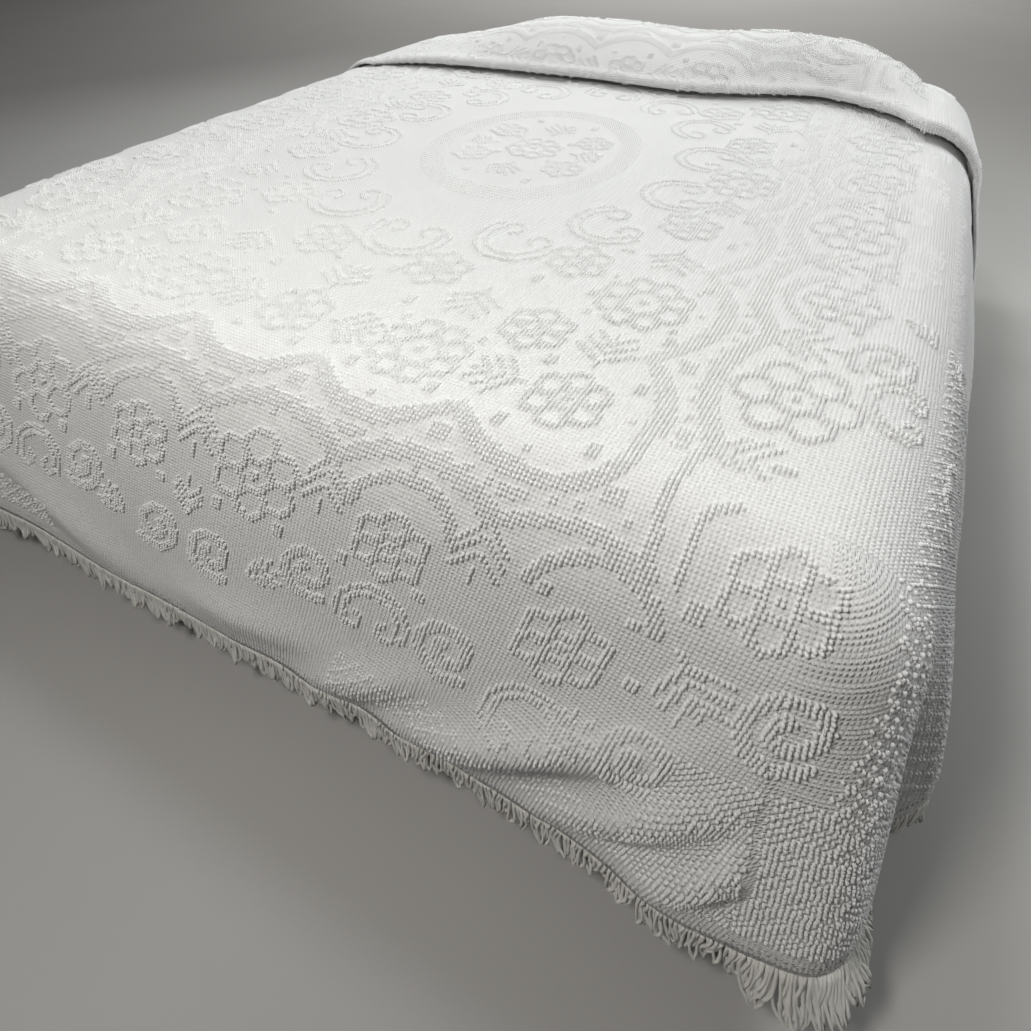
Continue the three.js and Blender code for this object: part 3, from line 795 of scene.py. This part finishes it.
# Domes: their sides and rings, each ring a share of the radius and of the height
DOME = dict(
    fine=dict(sides=5, rings=((1.0, -0.1), (0.9, 0.68))),
    plain=dict(sides=4, rings=((1.1, -0.1), (0.92, 0.7))),
    far=dict(sides=3, rings=((1.2, -0.1), (1.0, 0.7))),
    coarse=dict(sides=4, rings=((1.08, -0.15),)),
)
UNEVEN = dict(size=(0.86, 1.14), nudge=(-0.5, 0.5))
TUFT = dict(half_across=2.55, half_along=2.85, height=6.6)
FAR_TUFT = dict(half_across=2.5, half_along=2.95, height=5.7)
SIDE_TUFT = dict(half_across=2.5, half_along=2.9, height=4.4)
STITCH = dict(half_across=2.2, half_along=2.6, height=2.7)
NEAR_CORNER = np.array([893, -1000, 560])
REACH = dict(stitches=420, fade=420, fine=600, plain=1380, seed=90)  # from the near corner
MOST_FACES = 180000  # triangles in one piece


def domes(name, sites, half_across, half_along, height, sides, rings, seed):
    """One mesh of many low domes, each on its site."""
    rng = np.random.default_rng(seed)
    count = len(sites["point"])
    normal, down = sites["normal"], sites["down"]
    across = unit(np.cross(down, normal))
    size = rng.uniform(*UNEVEN["size"], (count, 1, 1))
    tall = height * rng.uniform(*UNEVEN["size"], (count, 1)) * sites["rise"][:, None]
    nudge = rng.uniform(*UNEVEN["nudge"], (count, 2))
    middle = sites["point"] + across * nudge[:, :1] + down * nudge[:, 1:]
    angle = 2 * np.pi * np.arange(sides) / sides + rng.uniform(0, 2 * np.pi, (count, 1))
    spread = across[:, None, :] * (half_across * np.cos(angle))[..., None]
    spread = (spread + down[:, None, :] * (half_along * np.sin(angle))[..., None]) * size
    up = normal * tall
    layers = [middle[:, None, :] + spread * share + (up * lift)[:, None, :] for share, lift in rings]
    points = np.concatenate([*layers, (middle + up)[:, None, :]], axis=1)
    each = points.shape[1]
    start = (np.arange(count) * each)[:, None, None]
    index = np.arange(each - 1).reshape(len(rings), sides)
    caps = np.column_stack([index[-1], np.roll(index[-1], -1), np.full(sides, each - 1)])
    faces = [(start + ring_quads(index)[None]).reshape(-1, 4)] if len(rings) > 1 else []
    return make_mesh(name, points.reshape(-1, 3), [*faces, (start + caps[None]).reshape(-1, 3)])


def make_tufts():
    """The raised tufts in pieces by how closely they are seen, and the flat stitches between them."""
    sites = tuft_sites()
    rise, bare = pattern(sites)
    raised = rise > 0
    in_rings = np.isin(sites["zone"], (*POLES, *FANS))
    sites["rise"] = np.where(raised, rise, np.where(in_rings, RISE["ring"], RISE["stitch"]))
    away = np.linalg.norm(sites["point"] - NEAR_CORNER, axis=1)
    on_top, on_the_foot = sites["zone"] == ON_TOP, sites["zone"] == ON_FOOT
    chance = np.random.default_rng(REACH["seed"]).random(len(away))
    thinning = REACH["stitches"] + REACH["fade"] * chance
    close = (away < REACH["fine"]) | on_the_foot
    groups = [
        ("stitches", ~raised & ~bare & ((away < thinning) | on_the_foot), STITCH, "coarse"),
        ("tufts_near", raised & close, TUFT, "fine"),
        ("tufts_middle", raised & on_top & ~close & (away < REACH["plain"]), FAR_TUFT, "plain"),
        ("tufts_far", raised & on_top & (away >= REACH["plain"]), FAR_TUFT, "far"),
        ("tufts_sides", raised & ~on_top & ~close, SIDE_TUFT, "coarse"),
    ]
    made = []
    for seed, (name, keep, size, kind) in enumerate(groups):
        chosen = np.flatnonzero(keep)
        dome = DOME[kind]
        most = MOST_FACES // (dome["sides"] * (2 * len(dome["rings"]) - 1))
        for n, start in enumerate(range(0, len(chosen), most)):
            part = {key: values[chosen[start : start + most]] for key, values in sites.items()}
            made.append(domes(f"{name}_{n + 1}", part, **size, **dome, seed=seed * 10 + n))
    return made


tufts = make_tufts()


# Fringe: looped yarn that hangs from the hem, and the line of stitches that holds it
YARN = dict(
    pitch=6.6, corner_pitch=3.6, radius=2.6, sides=4, segments=6, length=58, uneven=7, hang=0.92, lap=2.0,
    loop=(0.55, 0.85), neck=0.42, belly=0.58, belly_low=0.62, blunt=8, tip=0.02, twist=0.5,
    first_twist=0.35, flat=0.5, curl=5, curls=1.5, curl_out=0.6, sway=0.05, lean=0.07, inset=1.5, seed=400,
)
# Tips are drawn together in clumps of uneven width, which stand out by some degrees at the corners
CLUMP = dict(width=25, wander=0.35, beat=2.3, pull=0.6, uneven=9, sway=0.14, lean=0.08, stand=34)
HEM_STITCH = dict(above=22, length=5, gap=4.5, radius=0.8, sides=4, proud=1.0, dip=5.0)
# Stretches of the hem: rows along a side, degrees round a corner and millimetres along the foot
STRETCH = dict(side=(0, 0.997), head=(4.004, 4.998), corner=(0.6, CORNER - 0.6), foot=(1 - SIDE, SIDE - 1))
STRETCH_STEPS, FOOT_STEPS = 160, 480


def hem_paths():
    """The fringe's stretches: name, the cloth there, places along its hem and which way it faces."""
    at_side, at_head, at_corner = (
        np.linspace(*STRETCH[name], STRETCH_STEPS) for name in ("side", "head", "corner")
    )
    made = []
    for sign, side in ((-1, "left"), (1, "right")):
        here, corner = partial(on_side, sign), partial(on_corner, sign)
        made.append((f"fringe_{side}", here, at_side, -sign))
        made.append((f"fringe_{side}_head", here, at_head, -sign))
        made.append((f"fringe_{side}_corner", corner, at_corner, -sign))
    made.append(("fringe_foot", on_foot, np.linspace(*STRETCH["foot"], FOOT_STEPS), -1))
    return made


def along_hem(surface, places, above, pitch):
    """Places at even steps along the hem, or along a line above it, with half a step and the fall there."""
    fall = float(CLOTH["drop"] - above)
    reach = reach_along(surface(places, np.full(len(places), fall)))
    at = np.interp(even_steps(reach, pitch), reach, places)
    return at, (places[1] - places[0]) * 0.5, np.full(len(at), fall)


def tubes(paths, radius, sides):
    """Points, sides and ends of tubes along many lines at once: paths is lines by points by 3."""
    ahead = unit(np.gradient(paths, axis=1))
    across = unit(np.cross(ahead, np.array([0.37, 0.93, 0.0])))
    other = np.cross(ahead, across)
    angle = 2 * np.pi * np.arange(sides) / sides
    ring = across[:, :, None, :] * np.cos(angle)[:, None] + other[:, :, None, :] * np.sin(angle)[:, None]
    points = paths[:, :, None, :] + ring * radius
    index = np.arange(points[..., 0].size).reshape(points.shape[:3])
    return points.reshape(-1, 3), ring_quads(index), np.concatenate([index[:, 0, ::-1], index[:, -1]])


def yarn_paths(seed, pitch, stand, root, out, along):
    """Middle lines of the loops of yarn in one stretch of fringe."""
    rng = np.random.default_rng(YARN["seed"] + seed)
    count = len(root)
    place = np.arange(count) * pitch / CLUMP["width"]
    clump = np.floor(place + CLUMP["wander"] * np.sin(place * CLUMP["beat"] + seed)).astype(int)
    clump -= clump.min()
    clump_long, clump_sway, clump_lean = rng.uniform(-1, 1, (3, clump.max() + 1))[:, clump]
    middle = np.array([place[clump == n].mean() for n in range(clump.max() + 1)])
    pull = (middle[clump] - place) * CLUMP["width"] * CLUMP["pull"] / YARN["length"]
    long = YARN["length"] + YARN["uneven"] * rng.uniform(-1, 1, count) + CLUMP["uneven"] * clump_long
    half = YARN["pitch"] * rng.uniform(*YARN["loop"], count)
    sway = pull + CLUMP["sway"] * clump_sway + YARN["sway"] * rng.uniform(-1, 1, count)
    lean_out = CLUMP["lean"] * clump_lean + YARN["lean"] * rng.uniform(-1, 1, count)
    twist = rng.uniform(-1, 1, count) * YARN["twist"] + np.pi * rng.integers(0, 2, count)
    phase = rng.uniform(0, 2, (count, 1))
    # Down one side of the loop and up the other
    turn = np.linspace(0, 1, YARN["segments"] * 2 + 1)
    t = np.where(turn < 0.5, 2 * turn, 2 - 2 * turn)[None, :]
    tip = np.minimum(1, np.sqrt(np.maximum(0, 1 - t ** YARN["blunt"])) + YARN["tip"])
    belly = YARN["belly"] * np.sin(np.pi * (t * YARN["belly_low"]))
    width = half[:, None] * (YARN["neck"] + belly)
    side = np.where(turn < 0.5, -1.0, 1.0)[None, :] * tip * width
    fall = YARN["hang"] * long[:, None] * t + YARN["lap"]
    wind = twist[:, None] * (YARN["first_twist"] + t)
    curl = YARN["curl"] * np.sin(np.pi * (YARN["curls"] * t + phase)) * t
    sideways = side * np.cos(wind) + sway[:, None] * fall * t + curl
    outward = side * np.sin(wind) * YARN["flat"] + lean_out[:, None] * fall * t
    outward = outward + YARN["curl_out"] * curl - YARN["inset"]
    stand = stand * np.sin(np.pi * (np.arange(count) + 0.5) / count)[:, None]
    level = unit(out * np.array([1.0, 1.0, 0.0]))
    hanging = np.sin(stand) * level + np.cos(stand) * np.array([0, 0, -1.0])
    shifts = ((hanging, fall), (along, sideways), (out, outward))
    return root[:, None, :] + sum(way[:, None, :] * far[..., None] for way, far in shifts)


def make_fringe():
    made = []
    for seed, (name, surface, places, flip) in enumerate(hem_paths()):
        at_corner = name.endswith("corner")
        pitch = YARN["corner_pitch"] if at_corner else YARN["pitch"]
        at, step, fall = along_hem(surface, places, 0, pitch)
        root, out, _ = facing(surface, at, fall - MM_STEP, (step, MM_STEP), flip)
        along = unit(surface(at + step, fall) - surface(at - step, fall))
        stand = np.radians(CLUMP["stand"] if at_corner else 0)
        paths = yarn_paths(seed, pitch, stand, root, out, along)
        points, quads, ends = tubes(paths, YARN["radius"], YARN["sides"])
        piece = make_mesh(f"{name}_yarn", points, [quads, ends])
        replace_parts(piece, name)
        made.append(piece)
    return made


def make_hem_stitches():
    """Stitches in a line above the hem, all the way along the fringe."""
    paths = []
    t = np.linspace(-0.5, 0.5, 4)[None, :, None]
    for _, surface, places, flip in hem_paths():
        pitch = HEM_STITCH["length"] + HEM_STITCH["gap"]
        at, step, fall = along_hem(surface, places, HEM_STITCH["above"], pitch)
        place, out, _ = facing(surface, at, fall, (step, MM_STEP), flip)
        along = unit(surface(at + step, fall) - place)[:, None, :]
        bow = out[:, None, :] * (HEM_STITCH["proud"] - HEM_STITCH["dip"] * t**2)
        paths.append(place[:, None, :] + along * t * HEM_STITCH["length"] + bow)
    points, quads, ends = tubes(np.concatenate(paths), HEM_STITCH["radius"], HEM_STITCH["sides"])
    return make_mesh("hem_stitches", points, [quads, ends])


fringe = make_fringe()
hem_stitches = make_hem_stitches()


# Bed under the cloth
MATTRESS = dict(width=1900, length=2030, bottom=380.3, height=276, edge=134, corner=150, seam=2.5, piping=2)
BASE = dict(width=1840, length=1970, height=380, corner=100)
# The base's lower and upper edge with their piping: inset, and height or depth below the top
BASE_EDGE = ((4, 0), (0.8, 3), (0, 8), (0, 30), (2.5, 34), (2.5, 36), (0, 40))
BASE_TOP_EDGE = ((0, 44), (2.5, 40), (2.5, 38), (0, 34), (0, 8), (0.8, 3), (4, 0))
PILLOWS = rows(
    "name x y width depth height",
    ("pillow_left", -165, 826, 570, 294, 118), ("pillow_right", 445, 884, 540, 186, 122),
)
PILLOW_BED = MATTRESS["bottom"] + MATTRESS["height"] + 0.3
PILLOW = dict(softness=0.7, flat=0.42, inside=0.995, below=1.5, wrinkle=1.2)


def rounded_loft(name, size, bottom, wall):
    """A closed piece with upright round corners and flat ends; its wall is a list of insets and heights."""
    straight = np.array([size["width"], size["length"]]) / 2 - size["corner"]
    corners = ((1, 1), (-1, 1), (-1, -1), (1, -1))
    ways = [polar(1, np.radians(90 * n + np.linspace(0, 90, 30))) for n in range(4)]
    outline = [straight * corner + size["corner"] * way for corner, way in zip(corners, ways)]
    inset, up = np.array(wall).T
    flat = np.concatenate(outline) - np.concatenate(ways) * inset[:, None, None]
    points = stack(flat[..., 0], flat[..., 1], bottom + up[:, None])
    index = np.arange(points[..., 0].size).reshape(points.shape[:-1])
    return make_mesh(name, points.reshape(-1, 3), [ring_quads(index), index[:1, ::-1], index[-1:]])


def make_mattress():
    """A soft mattress with round edges and a piped seam round its middle."""
    edge, high = MATTRESS["edge"], MATTRESS["height"]
    turn = np.radians(np.linspace(90, 0, 14))
    round_edge = [(edge * (1 - np.cos(a)), edge * (1 - np.sin(a))) for a in turn]
    half = [*round_edge, (MATTRESS["seam"], high / 2 - MATTRESS["piping"])]
    wall = [*half, (0, high / 2), *[(inset, high - up) for inset, up in half[::-1]]]
    return rounded_loft("mattress_ticking", MATTRESS, MATTRESS["bottom"], wall)


def make_base():
    wall = [*BASE_EDGE, *[(inset, BASE["height"] - down) for inset, down in BASE_TOP_EDGE]]
    return rounded_loft("base_cloth_cover", BASE, 0, wall)


def make_pillow(row):
    """A crowned cushion with soft corners, flat where it lies."""

    def spread(value):
        return np.sign(value) * np.abs(value) ** PILLOW["softness"] / 2 * PILLOW["inside"]

    turn, rise = np.meshgrid(np.linspace(0, 2 * np.pi, 65)[:-1], np.linspace(0, np.pi, 37)[1:-1])
    x, y, z = np.cos(rise), np.sin(rise) * np.cos(turn), np.sin(rise) * np.sin(turn)
    flat = PILLOW["flat"]
    high = (np.maximum(z, -flat) + flat) * row["height"] / (1 + flat) - PILLOW["below"]
    wrinkle = PILLOW["wrinkle"] * np.sin(x * 17 + y * 9) * np.sin(y * 13 - x * 5) * np.maximum(z, 0)
    lift = PILLOW_BED + np.maximum(high + wrinkle, 0)
    along, across = row["x"] + spread(x) * row["width"], row["y"] + spread(y) * row["depth"]
    points = np.stack([along, across, lift], -1).reshape(-1, 3)
    index = np.arange(lift.size).reshape(lift.shape)
    quads = ring_quads(index)[:, [0, 3, 2, 1]]
    ends = np.stack([index[0], index[-1][::-1]])
    return make_mesh(f"{row['name']}_cotton", points, [quads, ends])


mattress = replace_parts(make_mattress(), "mattress")
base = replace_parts(make_base(), "bed_base")
pillows = [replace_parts(make_pillow(row), row["name"]) for row in PILLOWS]


# Materials, each with two close colours
# The ground and the tufts are one cotton: the tufts get lighter colours than the ground, as painted light on
# the raised tufts against the shade that falls between them.
COTTON = dict(low=(0.715, 0.72, 0.716), high=(0.795, 0.80, 0.797))
TUFT_COTTON_PAINTED_LIGHT = dict(low=(0.78, 0.785, 0.782), high=(0.86, 0.865, 0.862))
YARN_COTTON = dict(low=(0.66, 0.655, 0.615), high=(0.80, 0.795, 0.765))
# Hem stitches: dark colours that are painted shade, the shade of the dimples where the stitches pull into
# the cloth, put on the stitches themselves.
STITCH_PAINTED_SHADE = dict(low=(0.34, 0.32, 0.28), high=(0.42, 0.40, 0.36))
TICKING = dict(low=(0.62, 0.60, 0.56), high=(0.72, 0.70, 0.66))
BASE_CLOTH = dict(low=(0.36, 0.345, 0.32), high=(0.44, 0.425, 0.40))
PILLOW_COTTON = dict(low=(0.72, 0.72, 0.70), high=(0.80, 0.80, 0.78))
FLOOR = dict(low=(0.39, 0.385, 0.375), high=(0.43, 0.425, 0.415))
MATT = {"Specular IOR Level": 0.2, "Sheen Roughness": 0.6}


class Look:
    """A material that is put together from nodes."""

    def __init__(self, name, rough, sheen=0.0):
        self.material = bpy.data.materials.new(name)
        self.material.use_nodes = True
        self.tree = self.material.node_tree
        self.shader = self.tree.nodes["Principled BSDF"]
        self.feed(self.shader, {**MATT, "Roughness": rough, "Sheen Weight": sheen})

    def feed(self, node, inputs):
        """Sets a node's inputs, each to a value or to another node's output."""
        for key, value in inputs.items():
            if isinstance(value, bpy.types.NodeSocket):
                self.tree.links.new(value, node.inputs[key])
            else:
                node.inputs[key].default_value = value

    def add(self, kind, settings, inputs):
        node = self.tree.nodes.new("ShaderNode" + kind)
        for key, value in settings.items():
            setattr(node, key, value)
        self.feed(node, inputs)
        return node.outputs

    def place(self):
        return self.add("TexCoord", {}, {})["Object"]

    def noise(self, scale, detail=3.0):
        return self.add("TexNoise", {}, {"Scale": scale, "Detail": detail, "Vector": self.place()})["Fac"]

    def wave(self, direction, place, scale, distortion):
        inputs = {"Scale": scale, "Distortion": distortion, "Vector": place}
        return self.add("TexWave", {"bands_direction": direction}, inputs)["Fac"]

    def maths(self, operation, *values):
        return self.add("Math", {"operation": operation}, dict(enumerate(values)))[0]

    def bump(self, height, strength, distance):
        inputs = {"Strength": strength, "Distance": distance, "Height": height}
        self.feed(self.shader, {"Normal": self.add("Bump", {}, inputs)["Normal"]})

    def colour(self, factor, low, high):
        """Mixes the two colours by a factor, and gives the finished material."""
        inputs = {"A": (*low, 1), "B": (*high, 1), "Factor": factor}
        self.feed(self.shader, {"Base Color": self.add("Mix", {"data_type": "RGBA"}, inputs)["Result"]})
        return self.material


def ground_material():
    """Cotton ground with rows of flat stitches, one to each step of the lattice."""
    look = Look("candlewick_ground", rough=0.92, sheen=0.15)
    flat = look.add("UVMap", {"uv_map": "flat"}, {})["UV"]
    split = look.add("SeparateXYZ", {}, {0: flat})
    waves = [look.maths("COSINE", look.maths("MULTIPLY", split[axis], 2 * np.pi)) for axis in ("X", "Y")]
    across, along = (look.maths("MULTIPLY_ADD", wave, 0.5, 0.5) for wave in waves)
    stitches = look.maths("MULTIPLY", across, along)
    fuzzy = look.maths("MULTIPLY_ADD", look.noise(scale=900, detail=2), 0.25, stitches)
    look.bump(fuzzy, strength=0.8, distance=0.0026)
    # Colour: half random tone, half painted shade, lighter on each stitch and darker in the gaps between
    # stitches.
    shade = look.maths("MULTIPLY_ADD", look.noise(2.2), 0.5, look.maths("MULTIPLY", stitches, 0.5))
    return look.colour(shade, **COTTON)


def tuft_material(name, low, high):
    look = Look(name, rough=0.95, sheen=0.15)
    fuzz = look.noise(scale=1600, detail=2)
    look.bump(fuzz, strength=0.5, distance=0.0012)
    shade = look.maths("MULTIPLY_ADD", fuzz, 0.35, look.maths("MULTIPLY", look.noise(3.1), 0.65))
    return look.colour(shade, low, high)


def yarn_material():
    """Twisted yarn: fine slanting ply and a little fuzz."""
    look = Look("fringe_yarn", rough=0.95, sheen=0.2)
    ply = look.wave("DIAGONAL", look.place(), scale=190, distortion=3)
    fuzzy = look.maths("MULTIPLY_ADD", look.noise(scale=1400, detail=2), 0.6, ply)
    look.bump(fuzzy, strength=0.5, distance=0.0012)
    # Colour: mostly random tone, with painted shade that darkens the grooves between the plies.
    shade = look.maths("MULTIPLY_ADD", look.noise(14), 0.7, look.maths("MULTIPLY", ply, 0.3))
    return look.colour(shade, **YARN_COTTON)


def cloth_material(name, scale, low, high):
    """A plain woven cloth."""
    look = Look(name, rough=0.9)
    place = look.place()
    threads = [look.wave(direction, place, scale, distortion=0.6) for direction in ("X", "Z")]
    weave = look.maths("ADD", *threads)
    look.bump(weave, strength=0.3, distance=0.0006)
    # Colour: mostly random tone, with painted shade that darkens the cloth between the threads of the weave.
    shade = look.maths("MULTIPLY_ADD", look.noise(9), 0.7, look.maths("MULTIPLY", weave, 0.15))
    return look.colour(shade, low, high)


def floor_material():
    look = Look("floor", rough=0.7)
    return look.colour(look.noise(scale=1.4, detail=4), **FLOOR)


stitches = [piece for piece in tufts if piece.name.startswith("stitches")]
raised_tufts = [piece for piece in tufts if piece not in stitches]
looks = [
    ([sheet], ground_material()),
    (raised_tufts, tuft_material("candlewick_tuft_painted_light", **TUFT_COTTON_PAINTED_LIGHT)),
    (stitches, tuft_material("candlewick_stitch", **COTTON)),
    (fringe, yarn_material()),
    ([hem_stitches], tuft_material("hem_stitch_painted_shade", **STITCH_PAINTED_SHADE)),
    ([mattress], cloth_material("ticking", 320, **TICKING)),
    ([base], cloth_material("base_cloth", 260, **BASE_CLOTH)),
    (pillows, cloth_material("pillow_cotton", 420, **PILLOW_COTTON)),
]
for pieces, look in looks:
    for piece in pieces:
        piece.data.materials.append(look)


# Floor, light and camera; light places and sizes are in metres
FLOOR_SIZE = dict(half=14, height=-0.0015)
LIGHTS = rows(
    "name place target size power colour",
    ("left", (-2.6, 1.6, 2.2), (0.0, 0.0, 0.6), 0.8, 25, (0.975, 0.995, 1.0)),
    ("right", (3.0, 1.0, 2.2), (0.9, 0.2, 0.5), 0.9, 47, (0.985, 1.0, 0.995)),
    ("above", (-0.1, 0.1, 3.3), (-0.1, -0.4, 0.6), 0.5, 22, (0.975, 0.995, 1.0)),
    ("head", (-0.3, 1.3, 2.6), (0.0, 0.6, 0.6), 0.8, 18, (0.99, 1.0, 0.985)),
    ("front", (0.15, -1.95, 2.2), (0.2, -0.9, 0.5), 0.5, 27, (1.0, 0.965, 0.925)),
    ("floor", (-2.0, 8.0, 5.0), (-2.0, 8.0, 0.0), 6.0, 420, (1.0, 0.99, 0.97)),
)
WORLD = dict(colour=(1.0, 0.97, 0.94, 1), strength=0.03)
VIEW = dict(
    place=(815.7, -1520.4, 1299.4), yaw=-27.34, pitch=-28.21, roll=-0.39, lens=25.78, sensor=36,
    shift=(-0.0267, -0.2575), clip=(0.02, 100),
)


def add_to_scene(name, data):
    made = bpy.data.objects.new(name, data)
    bpy.context.scene.collection.objects.link(made)
    return made


def add_floor():
    half, height = FLOOR_SIZE["half"], FLOOR_SIZE["height"]
    mesh = bpy.data.meshes.new("floor")
    corners = [(x * half, y * half, height) for x, y in ((-1, -1), (1, -1), (1, 1), (-1, 1))]
    mesh.from_pydata(corners, [], [(0, 1, 2, 3)])
    mesh.materials.append(floor_material())
    add_to_scene("floor", mesh)


def add_lights():
    for row in LIGHTS:
        data = bpy.data.lights.new(row["name"], "AREA")
        data.shape = "DISK"
        data.size, data.energy, data.color = row["size"], row["power"], row["colour"]
        light = add_to_scene(row["name"], data)
        light.location = row["place"]
        light.rotation_mode = "QUATERNION"
        light.rotation_quaternion = (Vector(row["target"]) - light.location).to_track_quat("-Z", "Y")
    world = bpy.data.worlds.new("studio")
    world.use_nodes = True
    background = world.node_tree.nodes["Background"]
    background.inputs["Color"].default_value = WORLD["colour"]
    background.inputs["Strength"].default_value = WORLD["strength"]
    bpy.context.scene.world = world


def add_camera():
    yaw, pitch, roll = (np.radians(VIEW[name]) for name in ("yaw", "pitch", "roll"))
    ahead = Vector((np.sin(yaw) * np.cos(pitch), np.cos(yaw) * np.cos(pitch), np.sin(pitch)))
    right = ahead.cross(Vector((0, 0, 1))).normalized()
    up = right.cross(ahead)
    turned_right = np.cos(roll) * right + np.sin(roll) * up
    turned_up = -np.sin(roll) * right + np.cos(roll) * up
    data = bpy.data.cameras.new("view")
    data.lens, data.sensor_width = VIEW["lens"], VIEW["sensor"]
    data.shift_x, data.shift_y = VIEW["shift"]
    data.clip_start, data.clip_end = VIEW["clip"]
    camera = add_to_scene("view", data)
    turn = Matrix((turned_right, turned_up, -ahead)).transposed().to_4x4()
    camera.matrix_world = Matrix.Translation(Vector(VIEW["place"]) * MM) @ turn
    bpy.context.scene.camera = camera


add_floor()
add_lights()
add_camera()
bpy.context.scene.view_settings.view_transform = "Standard"
